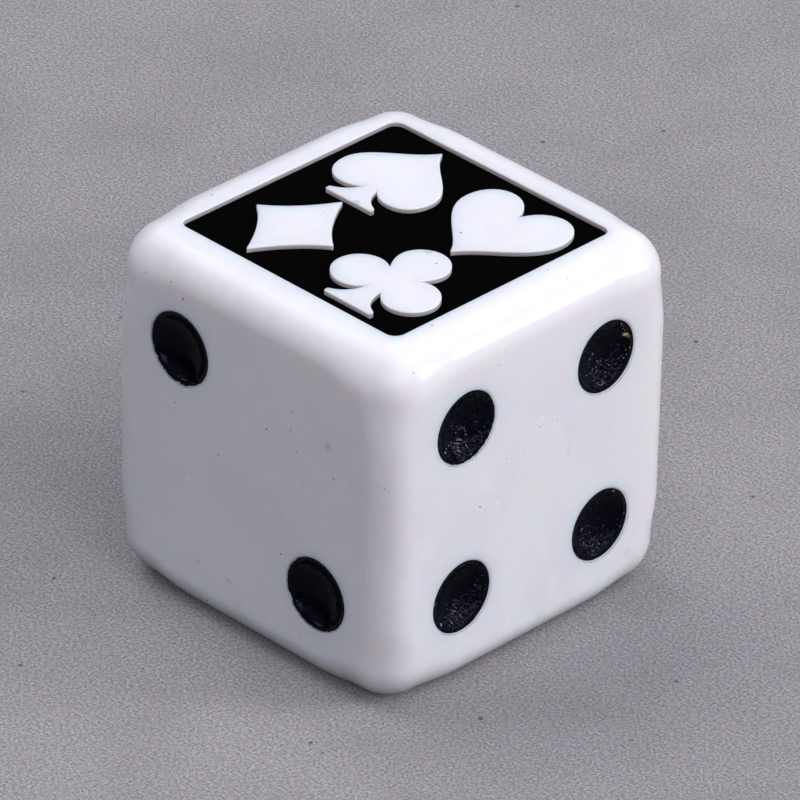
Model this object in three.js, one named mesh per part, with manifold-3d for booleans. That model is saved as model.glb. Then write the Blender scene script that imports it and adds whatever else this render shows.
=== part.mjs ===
// A white gaming die with drilled, enamel-filled pips and one engraved face.
// Millimetres, +Z up. The origin is the middle of the face that it stands on, which has one pip.
// -Y is the face with two pips, +X four, +Y five, -X three, and the engraved panel takes the six's place.
import * as THREE from 'three';
import { mergeVertices } from 'three/addons/utils/BufferGeometryUtils.js';
import Module from 'manifold-3d';

// The cube. Tumbling rounds its edges, and rounds them more towards the corners.
const side = 16;
const edgeRadius = 1.45;
const cornerRadius = 1.88;
const evenShare = 0.63; // the middle share of an edge's length that keeps the edge radius
const roundSteps = 3; // facets on each half of an edge's round
const alongSteps = 12; // facets along an edge, between its corners

// The pips: bowls left by a ball-nosed drill, and the enamel that fills them part of the way
const drillRadius = 2;
const pipDepth = 0.85;
const pipMargin = 2.46; // from the side of the cube to the rim of a pip beside it
const pipSides = 20;
const pipRings = 4;
const enamelDepth = 0.16; // at the bottom of the bowl
const enamelLip = 0.06; // at the enamel's edge
const rimLand = 0.1; // bare wall between the enamel's edge and the face

// The panel engraved in the top face, and the paint on its floor
const panelBorder = 1.95; // from the side of the cube to the panel
const panelCorner = 0.5;
const panelDepth = 0.3;
const panelPaintDepth = 0.06;
const cornerSteps = 4;

// The four card suits left standing in the panel, as high as the face
const suitMargin = 0.6; // from the panel's side to a suit
const suitGap = 0.3; // between two suits
const suitCurveSteps = 7;

// Clearance between paint and plastic, and how far a cutter runs out of the face
const paintGap = 0.03;
const overrun = 0.5;

// The right half of each suit, from its foot up to its top on the middle line, as shares of the
// suit's size: a start, then lines (an end), cubic curves (two handles and an end) and arcs
// (centre, radius, and two angles in shares of a full turn)
const suitShares = {
  spade: [
    { start: [0, -0.5] },
    { line: [0.24, -0.5] },
    { line: [0.24, -0.46] },
    { curve: [0.14, -0.42, 0.08, -0.35, 0.06, -0.25] },
    { curve: [0.13, -0.37, 0.47, -0.4, 0.47, -0.08] },
    { curve: [0.47, 0.16, 0.13, 0.26, 0, 0.5] },
  ],
  heart: [
    { start: [0, -0.48] },
    { curve: [0.12, -0.26, 0.5, -0.1, 0.5, 0.19] },
    { curve: [0.5, 0.53, 0.1, 0.57, 0, 0.24] },
  ],
  club: [
    { start: [0, -0.5] },
    { line: [0.24, -0.5] },
    { line: [0.24, -0.46] },
    { curve: [0.14, -0.42, 0.08, -0.35, 0.068, -0.208] },
    { arc: [0.265, -0.1, 0.225, -0.42, 0.34] },
    { arc: [0, 0.275, 0.225, -0.1, 0.25] },
  ],
  diamond: [
    { start: [0, -0.5] },
    { curve: [0.1, -0.31, 0.23, -0.13, 0.41, 0] },
    { curve: [0.23, 0.13, 0.1, 0.31, 0, 0.5] },
  ],
};

// Where the suits stand in the panel, in halves of their pitch to the right and up
const suitPlaces = [
  { suit: 'spade', right: -1, up: 1 },
  { suit: 'heart', right: 1, up: 1 },
  { suit: 'diamond', right: -1, up: -1 },
  { suit: 'club', right: 1, up: -1 },
];

// The faces with pips: the way each face looks, the way that is up on it, and its pips' places in
// steps of the pitch to the right and up
const pipFaces = [
  { name: 'one', facing: [0, 0, -1], up: [0, 1, 0], pips: [[0, 0]] },
  { name: 'two', facing: [0, -1, 0], up: [0, 0, 1], pips: [[-1, 1], [1, -1]] },
  { name: 'three', facing: [-1, 0, 0], up: [0, 0, 1], pips: [[-1, 1], [0, 0], [1, -1]] },
  { name: 'four', facing: [1, 0, 0], up: [0, 0, 1], pips: [[-1, 1], [1, 1], [-1, -1], [1, -1]] },
  { name: 'five', facing: [0, 1, 0], up: [0, 0, 1], pips: [[-1, 1], [1, 1], [0, 0], [-1, -1], [1, -1]] },
];

const half = side / 2;
const rimRadius = Math.sqrt(drillRadius ** 2 - (drillRadius - pipDepth) ** 2);
const pipPitch = half - pipMargin - rimRadius; // from a face's middle to an outer row of pips
const panelSide = side - 2 * panelBorder;
const suitSize = (panelSide - 2 * suitMargin - suitGap) / 2;
const suitPitch = suitSize + suitGap;

const whitePlastic = { color: 0xeef0f6, roughness: 0.22, metalness: 0 };
const pipEnamel = { color: 0x0b0c14, roughness: 0.3, metalness: 0 };
const panelBlack = { color: 0x050506, roughness: 0.5, metalness: 0 };

const wasm = await Module();
wasm.setup();

// A geometry as a solid that can be cut
function toSolid(geometry) {
  const bare = new THREE.BufferGeometry();
  bare.setAttribute('position', geometry.getAttribute('position').clone());
  if (geometry.index) bare.setIndex(geometry.index.clone());
  const merged = mergeVertices(bare);
  return new wasm.Manifold(new wasm.Mesh({
    numProp: 3,
    vertProperties: new Float32Array(merged.getAttribute('position').array),
    triVerts: new Uint32Array(merged.index.array),
  }));
}

// A cut solid as a geometry again
function toGeometry(solid) {
  const cut = solid.getMesh();
  const geometry = new THREE.BufferGeometry();
  geometry.setAttribute('position', new THREE.BufferAttribute(cut.vertProperties, 3));
  geometry.setIndex(new THREE.BufferAttribute(cut.triVerts, 1));
  geometry.computeVertexNormals();
  return geometry;
}

// The radius of an edge's round, where along runs from 0 at the edge's middle to 1 at its corner
function roundAt(along) {
  const growth = Math.max(along - evenShare, 0) / (1 - evenShare);
  return edgeRadius + ((cornerRadius - edgeRadius) * (1 - Math.cos(Math.PI * growth))) / 2;
}

// The tumbled cube: a box of facets whose outer rows are bent into the rounds
function tumbledCube() {
  const steps = alongSteps + 2 * roundSteps;
  const flatShare = alongSteps / steps;
  const box = new THREE.BoxGeometry(2, 2, 2, steps, steps, steps);
  const place = box.getAttribute('position');
  for (let i = 0; i < place.count; i += 1) {
    const unit = [place.getX(i), place.getY(i), place.getZ(i)];
    const reach = unit.map((u) => Math.min(Math.abs(u) / flatShare, 1));
    const bend = unit.map((u) => Math.max(Math.abs(u) - flatShare, 0) / (1 - flatShare));
    const facing = unit.map((u, k) => Math.sign(u) * Math.tan((bend[k] * Math.PI) / 4));
    const centre = unit.map((u, k) => {
      const others = reach.filter((_, other) => other !== k);
      return Math.sign(u) * reach[k] * (half - roundAt(Math.min(...others)));
    });
    const point = new THREE.Vector3(...facing).setLength(roundAt(Math.min(...reach)));
    point.add(new THREE.Vector3(...centre));
    place.setXYZ(i, point.x, point.y, point.z);
  }
  box.translate(0, 0, half);
  return box;
}

// Points up a ball's side from its lowest point, which is at the height given, out to an angle
function ballPoints(radius, lowest, angle) {
  return Array.from({ length: pipRings + 1 }, (_, ring) => {
    const turned = (angle * ring) / pipRings;
    return new THREE.Vector2(radius * Math.sin(turned), lowest + radius * (1 - Math.cos(turned)));
  });
}

// The drill's end, with +Y out of the face and the face at 0
function drillEnd() {
  const outline = ballPoints(drillRadius, -pipDepth, Math.acos(1 - (pipDepth + overrun) / drillRadius));
  outline.push(new THREE.Vector2(0, overrun));
  return new THREE.LatheGeometry(outline, pipSides);
}

// One pip's enamel: a dish that follows the bowl, thick at the bottom and thin at its edge
function enamelDish() {
  const outerRadius = drillRadius - paintGap;
  const outerLowest = paintGap - pipDepth;
  const outerAngle = Math.acos(1 - (-rimLand - outerLowest) / outerRadius);
  const outline = ballPoints(outerRadius, outerLowest, outerAngle);
  const innerLowest = outerLowest + enamelDepth;
  const innerEdge = outerRadius * Math.sin(outerAngle) - enamelLip;
  const innerRise = -rimLand - innerLowest;
  const innerRadius = (innerEdge ** 2 + innerRise ** 2) / (2 * innerRise);
  outline.push(...ballPoints(innerRadius, innerLowest, Math.asin(innerEdge / innerRadius)).reverse());
  return new THREE.LatheGeometry(outline, pipSides);
}

// A group on the middle of a face, with its Y out of the face and its -Z up the face
function faceGroup({ facing, up }) {
  const out = new THREE.Vector3(...facing);
  const down = new THREE.Vector3(...up).negate();
  const right = new THREE.Vector3().crossVectors(out, down);
  const group = new THREE.Group();
  group.quaternion.setFromRotationMatrix(new THREE.Matrix4().makeBasis(right, out, down));
  group.position.set(0, 0, half).addScaledVector(out, half);
  group.updateMatrixWorld();
  return group;
}

// A suit's outline about its own middle. Where two stretches meet, one point is kept.
function suitOutline(suit) {
  const path = new THREE.Path();
  for (const { start, line, curve, arc } of suitShares[suit]) {
    if (start) path.moveTo(...start.map((share) => share * suitSize));
    if (line) path.lineTo(...line.map((share) => share * suitSize));
    if (curve) path.bezierCurveTo(...curve.map((share) => share * suitSize));
    if (arc) {
      const [x, y, radius] = arc.slice(0, 3).map((share) => share * suitSize);
      const [from, to] = arc.slice(3).map((share) => share * 2 * Math.PI);
      path.absarc(x, y, radius, from, to, false);
    }
  }
  const apart = (point, i, all) => i === 0 || point.distanceTo(all[i - 1]) > paintGap;
  const right = path.getPoints(suitCurveSteps).filter(apart);
  const left = right.slice(1, -1).reverse().map((point) => new THREE.Vector2(-point.x, point.y));
  return [...right, ...left];
}

// An outline that runs anticlockwise, moved outwards by a distance
function grown(outline, by) {
  return outline.map((point, i) => {
    const before = outline[(i + outline.length - 1) % outline.length];
    const after = outline[(i + 1) % outline.length];
    const outOf = (from, to) => new THREE.Vector2(to.y - from.y, from.x - to.x).normalize();
    const first = outOf(before, point);
    const second = outOf(point, after);
    const mitre = first.clone().add(second).divideScalar(1 + first.dot(second));
    return point.clone().addScaledVector(mitre, by);
  });
}

// The panel's outline, a square with rounded corners, drawn in on all sides by a gap
function panelOutline(gap) {
  const corner = panelCorner - gap;
  const reach = panelSide / 2 - panelCorner;
  const path = new THREE.Path();
  path.absarc(reach, reach, corner, 0, Math.PI / 2, false);
  path.absarc(-reach, reach, corner, Math.PI / 2, Math.PI, false);
  path.absarc(-reach, -reach, corner, Math.PI, 1.5 * Math.PI, false);
  path.absarc(reach, -reach, corner, 1.5 * Math.PI, 2 * Math.PI, false);
  return path.getPoints(cornerSteps);
}

// The outline of one suit at its place in the panel, larger all round by a gap
function placedSuit({ suit, right, up }, gap) {
  const middle = new THREE.Vector2(right, up).multiplyScalar(suitPitch / 2);
  return grown(suitOutline(suit), gap).map((point) => point.add(middle));
}

// A flat outline made into a solid that stands on a height
function upright(shape, bottom, top) {
  const geometry = new THREE.ExtrudeGeometry(shape, { depth: top - bottom, bevelEnabled: false });
  return geometry.translate(0, 0, bottom);
}

// The white cube with its bowls and its engraved panel
function dieBody() {
  let solid = toSolid(tumbledCube());
  for (const face of pipFaces) {
    const { matrixWorld } = faceGroup(face);
    for (const [right, up] of face.pips) {
      const drill = drillEnd().translate(right * pipPitch, 0, -up * pipPitch).applyMatrix4(matrixWorld);
      solid = solid.subtract(toSolid(drill));
    }
  }
  const pocket = upright(new THREE.Shape(panelOutline(0)), side - panelDepth, side + overrun);
  solid = solid.subtract(toSolid(pocket));
  for (const place of suitPlaces) {
    const island = upright(new THREE.Shape(placedSuit(place, 0)), side - panelDepth - overrun, side);
    solid = solid.add(toSolid(island));
  }
  const mesh = new THREE.Mesh(toGeometry(solid), new THREE.MeshStandardMaterial(whitePlastic));
  mesh.name = 'die_body';
  return mesh;
}

// The paint on the panel's floor, round the suits
function panelPaint() {
  const shape = new THREE.Shape(panelOutline(paintGap));
  shape.holes = suitPlaces.map((place) => new THREE.Path(placedSuit(place, paintGap)));
  const bottom = side - panelDepth + paintGap;
  const plate = upright(shape, bottom, bottom + panelPaintDepth);
  const mesh = new THREE.Mesh(plate, new THREE.MeshStandardMaterial(panelBlack));
  mesh.name = 'panel_paint';
  return mesh;
}

// The enamel of one face's pips
function facePips(face) {
  const group = faceGroup(face);
  face.pips.forEach(([right, up], i) => {
    const dish = new THREE.Mesh(enamelDish(), new THREE.MeshStandardMaterial(pipEnamel));
    dish.position.set(right * pipPitch, 0, -up * pipPitch);
    dish.name = face.pips.length > 1 ? `${face.name}_pip_${'abcde'[i]}` : `${face.name}_pip`;
    group.add(dish);
  });
  return group;
}

const die = new THREE.Group();
die.add(dieBody(), panelPaint(), ...pipFaces.map(facePips));

export default die;
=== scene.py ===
import math

import bpy
from mathutils import Matrix, Vector, noise


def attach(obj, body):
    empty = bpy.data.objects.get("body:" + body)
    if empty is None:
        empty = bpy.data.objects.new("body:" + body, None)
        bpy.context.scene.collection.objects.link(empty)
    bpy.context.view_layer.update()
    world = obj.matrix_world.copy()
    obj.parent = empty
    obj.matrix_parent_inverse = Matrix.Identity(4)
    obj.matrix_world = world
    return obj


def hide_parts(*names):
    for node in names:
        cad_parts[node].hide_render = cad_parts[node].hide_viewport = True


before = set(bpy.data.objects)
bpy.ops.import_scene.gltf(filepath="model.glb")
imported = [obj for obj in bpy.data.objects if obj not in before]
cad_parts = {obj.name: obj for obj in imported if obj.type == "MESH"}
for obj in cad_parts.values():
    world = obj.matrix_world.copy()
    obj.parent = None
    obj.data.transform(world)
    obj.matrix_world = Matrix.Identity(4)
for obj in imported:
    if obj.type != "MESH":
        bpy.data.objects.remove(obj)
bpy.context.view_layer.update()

mm = 0.001
scene = bpy.context.scene
scene.view_settings.view_transform = "Standard"
noise.seed_set(16)      # without a seed, noise_vector starts elsewhere in each run


def dropSelection():
    if bpy.context.object and bpy.context.object.mode != "OBJECT":
        bpy.ops.object.mode_set(mode="OBJECT")
    bpy.ops.object.select_all(action="DESELECT")


def takeUp(piece):
    dropSelection()
    piece.select_set(True)
    bpy.context.view_layer.objects.active = piece
    return piece


def nameNew(name):      # the primitive that was just added, with its place put into its mesh
    piece = bpy.context.object
    piece.name = piece.data.name = name
    bpy.ops.object.transform_apply(location=True, rotation=True, scale=True)
    return takeUp(piece)


def copyOf(piece, name):
    twin = piece.copy()
    twin.data = piece.data.copy()
    twin.name = twin.data.name = name
    scene.collection.objects.link(twin)
    return twin


def openMesh(piece, wantedFace=None):      # edit mode, with everything or the wanted faces selected
    takeUp(piece)
    byFace = wantedFace is not None
    bpy.context.tool_settings.mesh_select_mode = (not byFace, False, byFace)
    bpy.ops.object.mode_set(mode="EDIT")
    bpy.ops.mesh.select_all(action="DESELECT" if byFace else "SELECT")
    if byFace:
        bpy.ops.object.mode_set(mode="OBJECT")
        for face in piece.data.polygons:
            face.select = wantedFace(face)
        bpy.ops.object.mode_set(mode="EDIT")


def closeMesh():
    bpy.ops.object.mode_set(mode="OBJECT")


def applyAll(piece):
    takeUp(piece)
    for modifier in list(piece.modifiers):
        bpy.ops.object.modifier_apply(modifier=modifier.name)


def cutWith(piece, tool):
    takeUp(piece)
    cut = piece.modifiers.new("cut", "BOOLEAN")
    cut.operation, cut.solver, cut.object = "DIFFERENCE", "EXACT", tool
    bpy.ops.object.modifier_apply(modifier=cut.name)
    bpy.data.objects.remove(tool)


def joined(pieces, name):
    takeUp(pieces[0])
    for piece in pieces:
        piece.select_set(True)
    bpy.ops.object.join()
    pieces[0].name = pieces[0].data.name = name
    return pieces[0]


def setSockets(node, values):
    for name, value in values.items():
        node.inputs[name].default_value = value


def clamped(share):
    return min(max(share, 0), 1)


def smoothStep(share):
    share = clamped(share)
    return share * share * (3 - 2 * share)


cameraPlace = {
    "lens": 412.9,
    "clip": (0.01, 10),
    "place": (0.218249, -0.222767, 0.198512),
    "rightward": (0.70596, 0.70795, 0.02090),
    "upward": (-0.38183, 0.35557, 0.85310),
    "backward": (0.59651, -0.61023, 0.52133),
}


def placeCamera(values):
    bpy.ops.object.camera_add()
    camera = bpy.context.object
    camera.name = "camera"
    camera.data.lens = values["lens"]
    camera.data.clip_start, camera.data.clip_end = values["clip"]
    turn = Matrix((values["rightward"], values["upward"], values["backward"])).transposed()
    camera.matrix_world = Matrix.Translation(values["place"]) @ turn.to_4x4()
    scene.camera = camera


studio = {
    "floorSize": 6.0,
    "floorColour": (0.325, 0.315, 0.330),
    "floorGrain": 0.50,     # how much lighter or darker the grain is
    "floorWarm": (0.375, 0.315, 0.325),
    "floorCool": (0.255, 0.275, 0.315),
    "floorSpeck": (0.06, 0.05, 0.07),
    "bounceColour": (0.05, 0.049, 0.054),      # what the floor sends back to the die
    "grainNoise": ((8200, 3, 0.7), (0.28, 0.72)),       # scale, detail, roughness, then its limits
    "warmNoise": ((3300, 3, 0.6), (0.48, 0.72, 0, 0.6)),
    "coolNoise": ((3700, 3, 0.6), (0.48, 0.72, 0, 0.6)),
    "cloudNoise": ((130, 4, 0.6), (0.38, 0.68, 0, 0.20)),
    "speckCells": (420, 0.06, 0.15),
    "floorRoughness": 0.9,
    "floorSpecular": 0.05,
    "worldColour": (0.87, 0.90, 1.10),
    "worldStrength": (1.20, 0.05),       # low down and overhead
    "horizon": (0.30, 0.65, 0.03),       # heights between which the sky sets in, share below
    "lamps": {      # direction from the die, distance, width, height, strength in watts, colour
        "softbox": ((0.50, 0.12, 0.86), 0.55, 0.34, 0.34, 0.84, (1.0, 0.965, 0.965)),
        "overhead": ((-0.58, -0.06, 0.81), 0.60, 0.40, 0.40, 1.60, (1.0, 0.975, 0.975)),
        "frontFill": ((0.69, -0.49, 0.54), 0.60, 0.72, 0.22, 1.62, (1.0, 0.99, 1.03)),
        "backWindow": ((0.65, 0.59, 0.30), 0.60, 0.17, 0.17, 1.64, (1.0, 0.99, 1.01)),
    },
}


def layFloor(values):
    bpy.ops.mesh.primitive_plane_add(size=values["floorSize"])
    floor = nameNew("floor")
    floor.data.materials.append(floorFinish(values))


def floorFinish(values):
    nodes = Nodes("paleFloor")
    shader = nodes.shader
    grain = values["floorGrain"]
    dark, light = (tuple(part * (1 + way * grain) for part in values["floorColour"])
                   for way in (-1, 1))
    colour = nodes.blend(nodes.cloud(values["grainNoise"]), dark, light)
    for pattern, tint in (("warmNoise", values["floorWarm"]), ("coolNoise", values["floorCool"]),
                          ("cloudNoise", dark)):
        colour = nodes.blend(nodes.cloud(values[pattern]), colour, tint)
    colour = nodes.blend(nodes.spots(*values["speckCells"]), colour, values["floorSpeck"])
    path = nodes.add("ShaderNodeLightPath")
    seen = nodes.reckon("MAXIMUM", path.outputs["Is Camera Ray"], path.outputs["Is Glossy Ray"])
    seen = nodes.reckon("MAXIMUM", seen, path.outputs["Is Transmission Ray"])
    colour = nodes.blend(seen, values["bounceColour"], colour)
    nodes.join(colour, shader.inputs["Base Color"])
    setSockets(shader, {
        "Roughness": values["floorRoughness"],
        "Specular IOR Level": values["floorSpecular"],
    })
    return nodes.paint


def hangLamps(values, target):
    for name, (toward, distance, width, height, watts, colour) in values["lamps"].items():
        bpy.ops.object.light_add(type="AREA")
        lamp = bpy.context.object
        lamp.name = lamp.data.name = name
        direction = Vector(toward).normalized()
        lamp.location = target + direction * distance
        lamp.rotation_euler = direction.to_track_quat("Z", "Y").to_euler()
        lamp.data.shape = "RECTANGLE"
        lamp.data.size, lamp.data.size_y = width, height
        lamp.data.energy, lamp.data.color = watts, colour


def lightSky(values):       # a bright ring above the horizon, dim overhead and below
    world = bpy.data.worlds.new("studio")
    scene.world = world
    world.use_nodes = True
    tree = world.node_tree
    sky = tree.nodes["Background"]
    sky.inputs["Color"].default_value = (*values["worldColour"], 1)
    way = tree.nodes.new("ShaderNodeTexCoord")
    rise = tree.nodes.new("ShaderNodeSeparateXYZ")
    tree.links.new(way.outputs["Generated"], rise.inputs["Vector"])
    strength = tree.nodes.new("ShaderNodeMath")
    strength.operation = "MULTIPLY"
    for number, (kind, names, row) in enumerate((
            ("LINEAR", ("To Min", "To Max"), values["worldStrength"]),
            ("SMOOTHSTEP", ("From Min", "From Max", "To Min"), values["horizon"]))):
        fade = tree.nodes.new("ShaderNodeMapRange")
        fade.interpolation_type = kind
        setSockets(fade, dict(zip(names, row)))
        tree.links.new(rise.outputs["Z"], fade.inputs["Value"])
        tree.links.new(fade.outputs["Result"], strength.inputs[number])
    tree.links.new(strength.outputs["Value"], sky.inputs["Strength"])


dieShape = {
    "side": 16 * mm,
    "edgeRadius": 1.45 * mm,        # rounding along the middle of an edge
    "cornerRadius": 1.88 * mm,      # tumbling wears the corners more
    "evenShare": 0.63,              # share of an edge whose rounding stays even
    "roundSteps": 12,
    "flatSteps": 24,
    "rimBevel": 0.040 * mm,         # the broken edge round bowls, panel and suits
    "rimSteps": 3,
    "rimAngle": 40,
    "flatness": 1e-6,               # a face that leans less than this lies in a flat
    "flatReach": 1e-7,
}
pipShape = {
    "drillRadius": 2 * mm,
    "depth": 0.85 * mm,
    "margin": 2.46 * mm,
    "segments": 128,
    "rings": 96,
}
panelShape = {
    "border": 1.95 * mm,
    "corner": 0.5 * mm,
    "depth": 0.3 * mm,
    "margin": 0.6 * mm,
    "gap": 0.3 * mm,
    "overrun": 0.5 * mm,
    "curveSteps": 14,
    "mergeReach": 0.002 * mm,
}
pipFaces = {        # way out of the face, way up on it, and its spots across and up
    "one": ((0, 0, -1), (0, 1, 0), [(0, 0)]),
    "two": ((0, -1, 0), (0, 0, 1), [(-1, 1), (1, -1)]),
    "three": ((-1, 0, 0), (0, 0, 1), [(-1, 1), (0, 0), (1, -1)]),
    "four": ((1, 0, 0), (0, 0, 1), [(-1, 1), (1, 1), (-1, -1), (1, -1)]),
    "five": ((0, 1, 0), (0, 0, 1), [(-1, 1), (1, 1), (0, 0), (-1, -1), (1, -1)]),
}
suitHalves = {      # right half of each suit, from the bottom up: start, then bezier stretches
    "spade": [(0, -0.5), ((0.24, -0.5),), ((0.24, -0.46),),
              ((0.14, -0.42), (0.08, -0.35), (0.06, -0.25)),
              ((0.13, -0.37), (0.47, -0.4), (0.47, -0.08)),
              ((0.47, 0.16), (0.13, 0.26), (0, 0.5))],
    "heart": [(0, -0.48), ((0.12, -0.26), (0.5, -0.1), (0.5, 0.19)),
              ((0.5, 0.53), (0.1, 0.57), (0, 0.24))],
    "club": [(0, -0.5), ((0.24, -0.5),), ((0.24, -0.46),),
             ((0.14, -0.42), (0.08, -0.35), (0.068, -0.208)),
             ("arc", 0.265, -0.1, 0.225, -0.42, 0.34),
             ("arc", 0, 0.275, 0.225, -0.1, 0.25)],
    "diamond": [(0, -0.5), ((0.1, -0.31), (0.23, -0.13), (0.41, 0)),
                ((0.23, 0.13), (0.1, 0.31), (0, 0.5))],
}
suitPlaces = {"spade": (-1, 1), "heart": (1, 1), "diamond": (-1, -1), "club": (1, -1)}

half = dieShape["side"] / 2
boreGap = pipShape["drillRadius"] - pipShape["depth"]      # from the face out to the ball's centre
ballCentre, downward = Vector((0, 0, boreGap)), Vector((0, 0, -1))
rimRadius = math.sqrt(pipShape["drillRadius"] ** 2 - boreGap ** 2)
pipPitch = half - pipShape["margin"] - rimRadius
panelSide = dieShape["side"] - 2 * panelShape["border"]
suitSize = (panelSide - 2 * panelShape["margin"] - panelShape["gap"]) / 2
suitPitch = suitSize + panelShape["gap"]


def roundingAt(along):
    growth = max(along - dieShape["evenShare"], 0) / (1 - dieShape["evenShare"])
    grown = (1 - math.cos(math.pi * growth)) / 2
    return dieShape["edgeRadius"] + (dieShape["cornerRadius"] - dieShape["edgeRadius"]) * grown


def tumbled(point):     # from a point of the plain cube to its place on the worn one
    flatShare = dieShape["flatSteps"] / (dieShape["flatSteps"] + 2 * dieShape["roundSteps"])
    reach = [min(abs(part) / half / flatShare, 1) for part in point]
    turn = [max(abs(part) / half - flatShare, 0) / (1 - flatShare) for part in point]
    facing = Vector([math.copysign(math.tan(share * math.pi / 4), part)
                     for share, part in zip(turn, point)])
    facing.normalize()
    centre = Vector()
    for axis in range(3):
        others = min(reach[(axis + 1) % 3], reach[(axis + 2) % 3])
        centre[axis] = math.copysign(reach[axis] * (half - roundingAt(others)), point[axis])
    return centre + facing * roundingAt(min(reach))


def pipStands():        # name of each pip's node, and the frame that stands on its spot
    for face, (out, up, spots) in pipFaces.items():
        outward, upward = Vector(out), Vector(up)
        across = upward.cross(outward)
        for spot, (right, rise) in enumerate(spots):
            name = f"{face}_pip" + ("_" + "abcde"[spot] if len(spots) > 1 else "")
            middle = Vector((0, 0, half)) + outward * half
            middle += (across * right + upward * rise) * pipPitch
            turn = Matrix((across, upward, outward)).transposed()
            yield name, Matrix.Translation(middle) @ turn.to_4x4()


def tumbledCube(values):
    bpy.ops.mesh.primitive_cube_add(size=values["side"], location=(0, 0, half))
    cube = nameNew("whiteDie")
    openMesh(cube)
    bpy.ops.mesh.subdivide(number_cuts=values["flatSteps"] + 2 * values["roundSteps"] - 1)
    closeMesh()
    lift = Vector((0, 0, half))
    for vertex in cube.data.vertices:
        vertex.co = tumbled(vertex.co - lift) + lift
    cube.data.update()

    def onFlat(face):
        level = max(map(abs, face.normal)) > 1 - values["flatness"]
        return level and max(map(abs, face.center - lift)) > half - values["flatReach"]

    openMesh(cube, onFlat)
    bpy.ops.mesh.dissolve_faces()
    closeMesh()
    return cube


def drillBit(values):
    bpy.ops.mesh.primitive_uv_sphere_add(
        radius=values["drillRadius"], segments=values["segments"], ring_count=values["rings"],
        location=(0, 0, boreGap))
    bit = nameNew("drillBit")
    bits = []
    for name, stand in pipStands():
        twin = copyOf(bit, "bit_" + name)
        twin.data.transform(stand)
        bits.append(twin)
    bpy.data.objects.remove(bit)
    return joined(bits, "drillBits")


def arcStretches(centreX, centreY, radius, start, end):     # start and end in shares of a turn
    pieces = max(1, math.ceil(abs(end - start) * 4))
    step = (end - start) / pieces * 2 * math.pi
    handle = 4 / 3 * math.tan(step / 4) * radius
    made = []
    for number in range(pieces):
        a = start * 2 * math.pi + number * step
        b = a + step
        first = Vector((centreX + radius * math.cos(a), centreY + radius * math.sin(a)))
        last = Vector((centreX + radius * math.cos(b), centreY + radius * math.sin(b)))
        made.append((first, first + Vector((-math.sin(a), math.cos(a))) * handle,
                     last - Vector((-math.sin(b), math.cos(b))) * handle, last))
    return made


def suitStretches(name):    # the closed outline, as bezier stretches in shares of the suit's size
    rows = suitHalves[name]
    here = Vector(rows[0])
    right = []
    for row in rows[1:]:
        if row[0] == "arc":
            arcs = arcStretches(*row[1:])
            arcs[0] = (here, *arcs[0][1:])
            right += arcs
        elif len(row) == 1:
            there = Vector(row[0])
            right.append((here, here.lerp(there, 1 / 3), here.lerp(there, 2 / 3), there))
        else:
            right.append((here, *(Vector(part) for part in row)))
        here = right[-1][3]
    last = right[-1]
    right[-1] = (*last[:3], Vector((0, last[3].y)))
    left = [tuple(Vector((-part.x, part.y)) for part in reversed(stretch))
            for stretch in reversed(right)]
    return right + left


def suitBlock(name, foot, top):
    across, along = (share * suitPitch / 2 for share in suitPlaces[name])
    outline = bpy.data.curves.new(name, "CURVE")
    outline.dimensions, outline.fill_mode = "2D", "BOTH"
    outline.resolution_u = panelShape["curveSteps"]
    outline.extrude = (top - foot) / 2
    stretches = suitStretches(name)
    spline = outline.splines.new("BEZIER")
    spline.bezier_points.add(len(stretches) - 1)
    spline.use_cyclic_u = True
    for number, stretch in enumerate(stretches):
        point = spline.bezier_points[number]
        point.handle_left_type = point.handle_right_type = "FREE"
        for part, share in (("co", stretch[0]), ("handle_right", stretch[1]),
                            ("handle_left", stretches[number - 1][2])):
            place = (across + share.x * suitSize, along + share.y * suitSize, 0)
            setattr(point, part, place)
    block = bpy.data.objects.new(name, outline)
    scene.collection.objects.link(block)
    block.location = (0, 0, (top + foot) / 2)
    takeUp(block)
    bpy.ops.object.convert(target="MESH")
    block = nameNew(name)
    openMesh(block)
    bpy.ops.mesh.remove_doubles(threshold=panelShape["mergeReach"])
    bpy.ops.mesh.normals_make_consistent(inside=False)
    closeMesh()
    return block


def panelBlock(name, side, foot, height):       # the panel's square, less the four suits
    bpy.ops.mesh.primitive_plane_add(size=side, location=(0, 0, foot))
    block = nameNew(name)
    openMesh(block)
    bpy.ops.mesh.bevel(
        offset=panelShape["corner"], segments=panelShape["curveSteps"], affect="VERTICES")
    bpy.ops.mesh.select_all(action="SELECT")
    bpy.ops.mesh.extrude_region_move(TRANSFORM_OT_translate={"value": (0, 0, height)})
    bpy.ops.mesh.select_all(action="SELECT")
    bpy.ops.mesh.normals_make_consistent(inside=False)
    closeMesh()
    past = panelShape["overrun"]
    for suit in suitPlaces:
        cutWith(block, suitBlock(suit, foot - past, foot + height + past))
    return block


def panelTool(values):      # what the engraver takes away
    foot = dieShape["side"] - values["depth"]
    return panelBlock("pocket", panelSide, foot, values["depth"] + values["overrun"])


def whiteDie():
    die = tumbledCube(dieShape)
    cutWith(die, drillBit(pipShape))
    cutWith(die, panelTool(panelShape))
    takeUp(die)
    bpy.ops.object.shade_smooth()
    rims = die.modifiers.new("rims", "BEVEL")
    rims.width, rims.segments = dieShape["rimBevel"], dieShape["rimSteps"]
    rims.limit_method, rims.angle_limit = "ANGLE", math.radians(dieShape["rimAngle"])
    rims.use_clamp_overlap = False
    flats = die.modifiers.new("flats", "WEIGHTED_NORMAL")
    flats.mode, flats.keep_sharp = "FACE_AREA", False
    applyAll(die)
    return die


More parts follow.
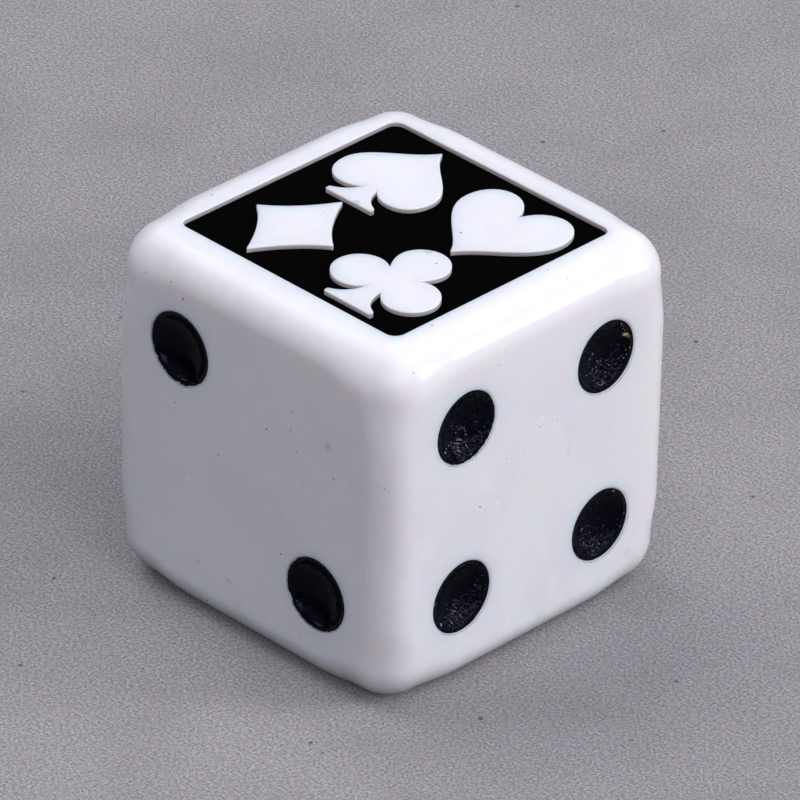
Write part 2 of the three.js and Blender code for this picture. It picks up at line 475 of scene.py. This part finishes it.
enamelShape = {
    "segments": 288,
    "rings": 360,
    "backRings": 40,
    "gap": 0.006 * mm,          # between the bowl and the back of the enamel
    "backDrop": 0.03 * mm,
    "rimDrop": 0.045 * mm,      # below the face, where the enamel ends on the wall
    "rimFlaw": 0.10 * mm,       # how far a nick goes down the wall
    "rimThickness": 0.009 * mm,
    "thickness": 0.11 * mm,
    "pool": 0.04 * mm,          # more of it at the bottom
    "landWidth": 0.12 * mm,     # the shoulder over which it thickens from the rim
    "beadPlace": 0.16 * mm,
    "beadWidth": 0.04 * mm,
    "beadHeight": 0.014 * mm,
    "beadLumps": (0.55, 0.9, 7.0),          # even part, lumpy part, lumps along the rim
    "beadWander": (0.22, 2.2),
    "bend": (1.3, 0.35),                    # slow noise that bends the folds: scale, reach
    "foldScales": (3.4, 6, 8.5),            # of the folds, the small folds and the grain
    "foldShares": (0.8, 0.5),
    "foldStart": (0.5, 1.2),                # where they set in and over how much, in land widths
    "patches": (0.35, 0.65, 1.1, 1.6),      # least strength, what comes on top, scale, contrast
    "wrinkleHeight": 0.040 * mm,
    "fineHeight": 0.016 * mm,
    "markUneven": (0.8, 0.6, 9),
    "nicks": (5.5, 0.28, 2.5),              # scale round the rim, threshold, gain
    "smallNicks": (19, 0.4),
    "slideShare": 1.2,
    "slideReach": 4,                        # widths of the land over which the slide fades
    "seedStep": (7.31, 3.17, 1.73),
    "bisectReach": 1e-7,
}
pipSkins = {        # strength of the wrinkles, their stretch and slant, drop of the rim in mm, seed
    "one_pip": (0.7, 1.6, 10, 0.03, 3),
    "two_pip_a": (0.12, 1.4, -20, 0.0, 11),
    "two_pip_b": (0.22, 1.4, 15, 0.0, 12),
    "three_pip_a": (0.6, 1.8, 0, 0.03, 21),
    "three_pip_b": (0.8, 1.4, 25, 0.05, 22),
    "three_pip_c": (0.4, 2.0, -10, 0.02, 23),
    "four_pip_a": (1.0, 1.4, -25, 0.02, 31),
    "four_pip_b": (0.9, 1.2, 20, 0.05, 35),
    "four_pip_c": (1.1, 1.3, -5, 0.03, 36),
    "four_pip_d": (1.1, 1.5, 25, 0.06, 34),
    "five_pip_a": (0.5, 1.5, 12, 0.02, 41),
    "five_pip_b": (0.9, 2.0, -8, 0.04, 42),
    "five_pip_c": (0.6, 1.4, 5, 0.01, 43),
    "five_pip_d": (0.8, 1.7, 30, 0.05, 44),
    "five_pip_e": (0.3, 1.3, 0, 0.03, 45),
}
skinMarks = {       # creases and bubbles: height and width, then points across and up, all in mm
    "four_pip_a": [
        (0.034, 0.045, [(-0.01, -0.49), (0.21, -0.41), (0.42, -0.43)]),
        (0.036, 0.045, [(1.27, -0.72), (1.0, -0.88), (0.69, -1.0), (0.39, -1.03), (0.04, -1.04)]),
        (0.045, 0.06, [(-0.57, -0.75), (-0.80, -0.74), (-0.96, -0.82)])],
    "four_pip_b": [
        (0.034, 0.036, [(0.8, 1.33), (0.9, 0.98), (1.12, 0.74), (1.31, 0.59), (1.45, 0.13),
                        (1.41, -0.17), (1.26, -0.25), (1.26, -0.44), (1.15, -0.59), (1.16, -0.73)]),
        (0.045, 0.05, [(-0.12, -0.11), (-0.33, -0.24)]),
        (0.05, 0.06, [(1.17, 0.51), (1.25, 0.44)])],
    "four_pip_c": [
        (0.026, 0.036, [(1.36, 0.58), (1.25, 0.43), (1.13, 0.17), (1.08, -0.04), (1.12, -0.18),
                        (1.21, -0.25), (1.35, -0.05)]),
        (0.045, 0.06, [(-1.06, -0.86), (-1.02, -0.84)])],
    "four_pip_d": [
        (0.036, 0.045, [(-0.01, -1.23), (0.12, -1.09), (0.35, -1.02), (0.72, -1.03),
                        (0.91, -1.01)]),
        (0.028, 0.036, [(1.25, 0.86), (1.43, 0.48), (1.45, -0.1), (1.25, -0.64), (1.01, -0.92)])],
}


def offLine(spot, line):        # distance from a spot to a chain of points
    found = []
    for start, end in zip(line, line[1:]):
        way = end - start
        share = clamped((spot - start).dot(way) / way.length_squared)
        found.append((spot - start - way * share).length)
    return min(found)


def skinSpokes(piece, values):      # skin vertices, seen from the centre of the drill's ball
    rimTurn = math.acos((boreGap + values["rimDrop"]) / pipShape["drillRadius"])
    for vertex in piece.data.vertices:
        if vertex.groups:
            spoke = vertex.co - ballCentre
            yield vertex, spoke, spoke.angle(downward), rimTurn


def enamelBlank(values):    # one smooth dish for a pip that faces up, its skin in a vertex group
    rimZ = -values["rimDrop"]
    radius = pipShape["drillRadius"]
    caps = []
    for name, reach, rings, top in (
            ("skin", radius, values["rings"], rimZ),
            ("back", radius - values["gap"], values["backRings"], rimZ - values["backDrop"])):
        bpy.ops.mesh.primitive_uv_sphere_add(
            radius=reach, segments=values["segments"], ring_count=rings, location=(0, 0, boreGap))
        cap = nameNew(name)
        openMesh(cap)
        bpy.ops.mesh.bisect(plane_co=(0, 0, top), plane_no=(0, 0, 1), clear_outer=True,
                            threshold=values["bisectReach"])
        closeMesh()
        caps.append(cap)
    group = caps[0].vertex_groups.new(name="skin")
    group.add(range(len(caps[0].data.vertices)), 1, "REPLACE")
    blank = joined(caps, "enamelBlank")
    openMesh(blank)
    bpy.ops.mesh.select_all(action="DESELECT")
    bpy.ops.mesh.select_non_manifold()
    bpy.ops.mesh.bridge_edge_loops()
    closeMesh()
    for vertex, spoke, turn, rimTurn in skinSpokes(blank, values):
        fromRim = (rimTurn - turn) * radius
        shoulder = math.sin(clamped(fromRim / values["landWidth"]) * math.pi / 2)
        depth = values["rimThickness"] + shoulder * (values["thickness"] - values["rimThickness"])
        depth += values["pool"] * smoothStep(1 - turn / rimTurn)
        vertex.co = ballCentre + spoke * (1 - depth / spoke.length)
    openMesh(blank)
    bpy.ops.mesh.normals_make_consistent(inside=False)
    closeMesh()
    return blank


def wrinkleSkin(piece, values, marks, strength, stretch, slant, drop, seed):
    shift = Vector(values["seedStep"]) * seed
    slantTurn = Matrix.Rotation(math.radians(-slant), 2)
    bendScale, bendReach = values["bend"]
    foldScale, smallScale, fineScale = values["foldScales"]
    foldShare, smallShare = values["foldShares"]
    startPlace, startWidth = values["foldStart"]
    patchLow, patchGain, patchScale, patchContrast = values["patches"]
    beadEven, beadLumpy, lumpScale = values["beadLumps"]
    wanderReach, wanderScale = values["beadWander"]
    markEven, markLumpy, markScale = values["markUneven"]
    nickScale, nickLow, nickGain = values["nicks"]
    smallNickScale, smallNickGain = values["smallNicks"]
    marks = [(height * mm, width, list(map(Vector, line))) for height, width, line in marks]
    for vertex, spoke, turn, rimTurn in skinSpokes(piece, values):
        fromRim = (rimTurn - turn) * pipShape["drillRadius"]
        flat = Vector((vertex.co.x, vertex.co.y)) / mm
        here = slantTurn @ flat
        around = Vector((flat.x, flat.y, 0)).normalized()
        # folds: two sizes of ridged noise, bent by a slow one
        place = Vector((here.x, here.y * stretch, 0)) + shift
        place += noise.noise_vector(place * bendScale) * bendReach
        folds = 1 - abs(noise.noise(place * foldScale)) * 2
        small = 1 - abs(noise.noise(place * smallScale + shift)) * 2
        thick = noise.noise(Vector((flat.x, flat.y, 9)) * patchScale + shift)
        patch = patchLow + patchGain * smoothStep(0.5 + thick * patchContrast)
        inside = smoothStep((fromRim / values["landWidth"] - startPlace) / startWidth)
        ridges = folds * foldShare + small * smallShare
        lift = values["wrinkleHeight"] * strength * patch * inside * ridges
        lift += values["fineHeight"] * strength * inside * noise.noise(place * fineScale)
        # the bead just inside the rim, lumpy along its way
        lump = beadEven + beadLumpy * noise.noise(around * lumpScale + shift)
        wander = 1 + wanderReach * noise.noise(around * wanderScale + shift)
        bead = math.exp(-((fromRim - values["beadPlace"] * wander) / values["beadWidth"]) ** 2)
        lift += values["beadHeight"] * max(lump, 0) * bead
        for height, width, line in marks:
            off = offLine(flat, line) / width
            uneven = markEven + markLumpy * noise.noise(place * markScale)
            lift += height * math.exp(-off * off) * uneven
        # nicks, where the enamel ends a little lower on the wall
        nick = max(noise.noise(around * nickScale + shift * 2) - nickLow, 0) * nickGain
        nick += smallNickGain * max(noise.noise(around * smallNickScale + shift), 0)
        fade = smoothStep(1 - fromRim / (values["slideReach"] * values["landWidth"]))
        slide = (drop * mm + nick * values["rimFlaw"]) * values["slideShare"] * fade
        spoke = spoke.normalized() * (spoke.length - lift)
        axis = spoke.cross(downward)
        if axis.length > 0:
            turnBack = Matrix.Rotation(slide / pipShape["drillRadius"], 3, axis.normalized())
            spoke.rotate(turnBack)
        vertex.co = ballCentre + spoke
    piece.data.update()


def fillPips():
    blank = enamelBlank(enamelShape)
    takeUp(blank)
    bpy.ops.object.shade_smooth()
    fills = {}
    for name, stand in pipStands():
        fill = copyOf(blank, name + "_enamel")
        wrinkleSkin(fill, enamelShape, skinMarks.get(name, []), *pipSkins[name])
        fill.vertex_groups.clear()
        fill.data.transform(stand)
        fills[name] = fill
    bpy.data.objects.remove(blank)
    return fills


paintShape = {
    "thickness": 0.05 * mm,
    "clearance": 0.004 * mm,        # over the panel's floor, and in all across it
}


def panelPaint(values):
    foot = dieShape["side"] - panelShape["depth"] + values["clearance"]
    return panelBlock("panelPaint", panelSide - values["clearance"], foot, values["thickness"])


plasticLook = {
    "white": (0.871, 0.863, 0.908),
    "shade": (0.826, 0.820, 0.880),
    "pearl": (0.886, 0.878, 0.917),
    "speck": (0.12, 0.10, 0.10),
    "smudge": (0.60, 0.58, 0.63),
    "fleck": (0.95, 0.94, 0.95),
    "washAndShade": (0.40, 0.40, 0.43),       # walls of the engraving, greyed partly by thinned paint and partly as painted shade of the recess
    "washShadeReach": (0.15 * mm, 0.2 * mm),         # past the panel's edge
    "washShadeRise": (-0.5 * mm, -0.4 * mm),         # against the top face, as the next row
    "washShadeFall": (-0.10 * mm, -0.045 * mm),
    "marks": {      # wear on the two faces that are seen, and lighter spots painted as highlights of small dents: colour, then across, up and radius in mm
        "two": [
            ((0.745, 0.735, 0.78), (2.49, 3.84, 0.12), (2.38, 2.92, 0.12), (2.42, 3.06, 0.09),
             (-2.77, -5.42, 0.13), (-2.62, -5.40, 0.10), (-1.04, -5.52, 0.13),
             (-0.90, -5.56, 0.11)),
            ((0.80, 0.79, 0.835), (3.09, 2.64, 0.12), (3.13, 0.87, 0.16), (3.17, -6.18, 0.20)),
            ((0.32, 0.29, 0.30), (-1.61, 0.05, 0.055), (-4.11, 1.36, 0.05), (4.8, 1.86, 0.05),
             (6.88, -0.33, 0.05), (2.75, 2.18, 0.045)),
            # painted highlights: lighter spots where small dents catch the light
            ((0.93, 0.92, 0.95), (-2.74, 1.46, 0.11), (-3.28, -1.85, 0.16), (2.1, -6.31, 0.10))],
        "four": [
            ((0.838, 0.815, 0.855), (1.84, 1.45, 0.20), (1.95, 1.15, 0.22), (1.93, 0.85, 0.22),
             (1.88, 0.55, 0.20), (1.86, 0.29, 0.18), (2.27, 1.37, 0.10), (-1.73, -0.78, 0.24)),
            ((0.80, 0.79, 0.85), (5.5, -5.85, 0.30)),
            ((0.20, 0.17, 0.18), (-3.06, -0.06, 0.055)),
            ((0.60, 0.56, 0.60), (0.2, 2.25, 0.06), (-1.63, 1.55, 0.055), (-1.23, 0.66, 0.045),
             (1.18, 2.11, 0.05), (-2.23, 6.08, 0.05), (-0.66, 1.4, 0.04), (2.4, 0.85, 0.04),
             (0.67, -0.78, 0.04)),
            # painted highlights: lighter spots where small dents catch the light
            ((0.92, 0.912, 0.945), (0.37, 2.56, 0.13), (-2.12, -0.27, 0.13), (-7.11, 0.92, 0.12))],
    },
    "shadeNoise": ((230, 3, 0.55, 0.3), (0.40, 0.72)),
    "pearlNoise": ((390, 3, 0.6, 0.2), (0.54, 0.76)),
    "smudgeCells": (420, 0.11, 0.75),       # scale, size of a spot, share of the cells left bare
    "speckCells": (910, 0.065, 0.40),
    "fleckCells": (730, 0.090, 0.55),
    "glossNoise": ((800, 3), (0.3, 0.7)),
    "ior": 1.45,
    "bump": ((900, 4), 0.006 * mm, 0.5),
    "subsurface": 1.0,
    "subsurfaceScale": 1.15 * mm,
    "subsurfaceRadius": (1.0, 0.62, 0.42),
    "roughness": (0.21, 0.265),
    "specular": 0.35,
}
enamelLook = {
    "colour": (0.0006, 0.0008, 0.0035),
    "dull": (0.0016, 0.0018, 0.0050),
    "flecksAndGlints": {     # bits caught in the skin, and painted glints where creases and bubbles catch the light: colour, then across, up and radius in mm
        # painted glints: grey along the creases and on the bubble, where they catch the light
        "four_pip_a": [
            ((0.24, 0.24, 0.28), (-0.96, -0.82, 0.06), (-0.82, -0.75, 0.055), (-0.57, -0.75, 0.04),
             (-0.01, -0.49, 0.04), (0.21, -0.41, 0.035), (0.42, -0.43, 0.035)),
            ((0.10, 0.10, 0.13), (1.27, -0.72, 0.045), (1.0, -0.88, 0.04), (0.69, -1.0, 0.04))],
        "four_pip_b": [
            ((0.62, 0.50, 0.38), (1.20, 0.48, 0.12)),
            ((0.22, 0.08, 0.04), (1.31, 0.37, 0.10)),
            # painted glints along the crack and on the bubble; the two rows above are real flecks
            ((0.17, 0.16, 0.19), (0.8, 1.33, 0.05), (0.86, 1.14, 0.045), (0.9, 0.98, 0.045),
             (1.02, 0.85, 0.04), (1.12, 0.74, 0.04), (1.41, -0.17, 0.045), (1.26, -0.25, 0.045),
             (1.26, -0.44, 0.04), (1.15, -0.59, 0.045)),
            ((0.20, 0.20, 0.24), (-0.33, -0.24, 0.06), (-0.12, -0.11, 0.045))],
        # painted glints: a pale dot on the bubble and grey along the crease
        "four_pip_c": [
            ((0.34, 0.34, 0.38), (-1.06, -0.86, 0.07)),
            ((0.08, 0.08, 0.11), (1.25, 0.43, 0.04), (1.13, 0.17, 0.04), (1.08, -0.04, 0.04),
             (1.12, -0.18, 0.04), (1.21, -0.25, 0.04))],
        "four_pip_d": [
            ((0.24, 0.18, 0.17), (0.78, 1.24, 0.065)),
            # painted glints along the creases; the row above is a real fleck
            ((0.09, 0.09, 0.11), (1.25, 0.86, 0.05), (1.36, 0.66, 0.045), (1.43, 0.48, 0.045),
             (1.45, -0.1, 0.045), (1.25, -0.64, 0.045))],
    },
    "fleckGlintDepth": 0.3,      # how much less depth counts than width, as the skin isn't level
    "dullNoise": ((1500, 3), (0.4, 0.7)),
    "glossNoise": ((2600, 4), (0.35, 0.65)),
    "bump": ((5500, 1), 0.006 * mm),
    "roughness": (0.08, 0.22),
    "specular": 0.10,
    "specularTint": (0.75, 0.79, 1.0),
}
paintLook = {
    "colour": (0.0006, 0.0006, 0.0006),
    "roughness": 0.9,
    "specular": 0.02,
    "bump": ((6000, 4), 0.004 * mm, 0.5),
}


softness = {        # full part and strength of a spot, blur between bare and spotted cells
    "spotCore": 0.4,
    "spotStrength": 0.75,
    "cellBlur": 0.15,
    "nearCore": 0.5,
}


class Nodes:        # adds nodes to a new material and links them
    def __init__(self, name):
        self.paint = bpy.data.materials.new(name)
        self.paint.use_nodes = True
        self.tree = self.paint.node_tree
        self.shader = self.tree.nodes["Principled BSDF"]
        self.place = self.add("ShaderNodeTexCoord").outputs["Object"]

    def add(self, kind, **values):
        node = self.tree.nodes.new(kind)
        for key, value in values.items():
            setattr(node, key, value)
        return node

    def join(self, source, target):
        self.tree.links.new(source, target)

    def noise(self, *values):       # scale, detail, roughness, distortion
        node = self.add("ShaderNodeTexNoise")
        setSockets(node, dict(zip(("Scale", "Detail", "Roughness", "Distortion"), values)))
        self.join(self.place, node.inputs["Vector"])
        return node.outputs["Fac"]

    def cloud(self, pattern, *ends):
        scales, limits = pattern
        return self.span(self.noise(*scales), *limits, *ends)

    def spots(self, scale, size, rarity):       # a soft dot in some of the cells
        node = self.add("ShaderNodeTexVoronoi")
        node.inputs["Scale"].default_value = scale
        self.join(self.place, node.inputs["Vector"])
        parts = self.add("ShaderNodeSeparateColor")
        self.join(node.outputs["Color"], parts.inputs["Color"])
        core = size * softness["spotCore"]
        dot = self.span(node.outputs["Distance"], core, size, softness["spotStrength"], 0.0)
        chosen = self.span(parts.outputs["Red"], rarity, rarity + softness["cellBlur"])
        return self.reckon("MULTIPLY", dot, chosen)

    def reckon(self, operation, *sources):
        node = self.add("ShaderNodeMath", operation=operation)
        for number, source in enumerate(sources):
            self.join(source, node.inputs[number])
        return node.outputs["Value"]

    def squashed(self, shares):
        node = self.add("ShaderNodeVectorMath", operation="MULTIPLY")
        self.join(self.place, node.inputs[0])
        node.inputs[1].default_value = shares
        return node.outputs["Vector"]

    def near(self, place, radius, source=None):      # 1 at a place on the piece, fading to 0
        node = self.add("ShaderNodeVectorMath", operation="DISTANCE")
        self.join(source or self.place, node.inputs[0])
        node.inputs[1].default_value = place
        return self.span(node.outputs["Value"], radius * softness["nearCore"], radius, 1.0, 0.0)

    def span(self, source, low, high, toLow=0.0, toHigh=1.0):
        node = self.add("ShaderNodeMapRange", interpolation_type="SMOOTHSTEP")
        setSockets(node, {"From Min": low, "From Max": high, "To Min": toLow, "To Max": toHigh})
        self.join(source, node.inputs["Value"])
        return node.outputs["Result"]

    def blend(self, share, first, second):
        node = self.add("ShaderNodeMix", data_type="RGBA")
        self.join(share, node.inputs["Factor"])
        for key, value in (("A", first), ("B", second)):
            socket = [s for s in node.inputs if s.name == key and s.type == "RGBA"][0]
            if isinstance(value, tuple):
                socket.default_value = (*value, 1)
            else:
                self.join(value, socket)
        return [s for s in node.outputs if s.type == "RGBA"][0]

    def bump(self, scales, distance, strength=1.0):
        node = self.add("ShaderNodeBump")
        setSockets(node, {"Distance": distance, "Strength": strength})
        self.join(self.noise(*scales), node.inputs["Height"])
        self.join(node.outputs["Normal"], self.shader.inputs["Normal"])


def inEngraving(nodes, values):     # 1 on the walls of the panel and the suits, where the paint wash and painted shade go
    parts = nodes.add("ShaderNodeSeparateXYZ")
    nodes.join(nodes.place, parts.inputs["Vector"])
    sideways = (nodes.reckon("ABSOLUTE", parts.outputs[axis]) for axis in "XY")
    farthest = nodes.reckon("MAXIMUM", *sideways)
    share = nodes.span(farthest, *(panelSide / 2 + part for part in values["washShadeReach"]), 1, 0)
    for limits, ends in ((values["washShadeRise"], (0, 1)), (values["washShadeFall"], (1, 0))):
        low, high = (dieShape["side"] + part for part in limits)
        share = nodes.reckon("MULTIPLY", share, nodes.span(parts.outputs["Z"], low, high, *ends))
    return share


def plasticFinish(values):
    nodes = Nodes("milkyWhitePlastic")
    shader = nodes.shader
    colour = nodes.blend(nodes.cloud(values["shadeNoise"]), values["white"], values["shade"])
    colour = nodes.blend(nodes.cloud(values["pearlNoise"]), colour, values["pearl"])
    for kind in ("smudge", "speck", "fleck"):
        colour = nodes.blend(nodes.spots(*values[kind + "Cells"]), colour, values[kind])
    # the engraving's walls greyed: thinned paint, and painted shade of the recess
    colour = nodes.blend(inEngraving(nodes, values), colour, values["washAndShade"])
    # smudges and specks, and painted highlights of dents, on the two seen faces
    for face, rows in values["marks"].items():
        out, up = (Vector(way) for way in pipFaces[face][:2])
        across = up.cross(out)
        for mark, *spots in rows:
            for right, rise, radius in spots:
                spot = Vector((0, 0, half)) + out * half + (across * right + up * rise) * mm
                colour = nodes.blend(nodes.near(spot, radius * mm), colour, mark)
    nodes.join(colour, shader.inputs["Base Color"])
    nodes.join(nodes.cloud(values["glossNoise"], *values["roughness"]), shader.inputs["Roughness"])
    setSockets(shader, {
        "Specular IOR Level": values["specular"],
        "Subsurface Weight": values["subsurface"],
        "Subsurface Radius": values["subsurfaceRadius"],
        "Subsurface Scale": values["subsurfaceScale"],
        "IOR": values["ior"],
    })
    nodes.bump(*values["bump"])
    return nodes.paint


def enamelFinish(values):
    nodes = Nodes("blueBlackEnamel")
    shader = nodes.shader
    colour = nodes.blend(nodes.cloud(values["dullNoise"]), values["colour"], values["dull"])
    stands = dict(pipStands())
    skinRadius = pipShape["drillRadius"] - enamelShape["thickness"]
    alongX = nodes.squashed((values["fleckGlintDepth"], 1, 1))       # the pips with flecks and painted glints face along X
    # blends in the real flecks, and the painted glints of creases and bubbles
    for name, rows in values["flecksAndGlints"].items():
        for fleckOrGlint, *spots in rows:
            for across, up, radius in spots:
                flat = Vector((across, up)) * mm
                depth = math.sqrt(skinRadius ** 2 - flat.length_squared) - boreGap
                spot = stands[name] @ Vector((*flat, -depth))
                spot.x *= values["fleckGlintDepth"]
                colour = nodes.blend(nodes.near(spot, radius * mm, alongX), colour, fleckOrGlint)
    nodes.join(colour, shader.inputs["Base Color"])
    nodes.join(nodes.cloud(values["glossNoise"], *values["roughness"]), shader.inputs["Roughness"])
    setSockets(shader, {
        "Specular IOR Level": values["specular"],
        "Specular Tint": (*values["specularTint"], 1),
    })
    nodes.bump(*values["bump"])
    return nodes.paint


def paintFinish(values):
    nodes = Nodes("flatBlackPaint")
    setSockets(nodes.shader, {
        "Base Color": (*values["colour"], 1),
        "Roughness": values["roughness"],
        "Specular IOR Level": values["specular"],
    })
    nodes.bump(*values["bump"])
    return nodes.paint


dropSelection()
placeCamera(cameraPlace)
layFloor(studio)
hangLamps(studio, Vector((0, 0, half)))
lightSky(studio)
print("camera, floor and lamps in place")

plastic = plasticFinish(plasticLook)
enamel = enamelFinish(enamelLook)
black = paintFinish(paintLook)


def handOver(piece, nodeName, finish):
    piece.data.materials.clear()
    piece.data.materials.append(finish)
    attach(piece, "root")
    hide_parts(nodeName)


handOver(whiteDie(), "die_body", plastic)
print("die modelled")
for name, fill in fillPips().items():
    handOver(fill, name, enamel)
print("pips filled")
handOver(panelPaint(paintShape), "panel_paint", black)
print("panel painted")
for material, names in ((plastic, ["die_body"]), (black, ["panel_paint"]), (enamel, pipSkins)):
    for name in names:
        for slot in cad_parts[name].material_slots:
            slot.material = material

dropSelection()
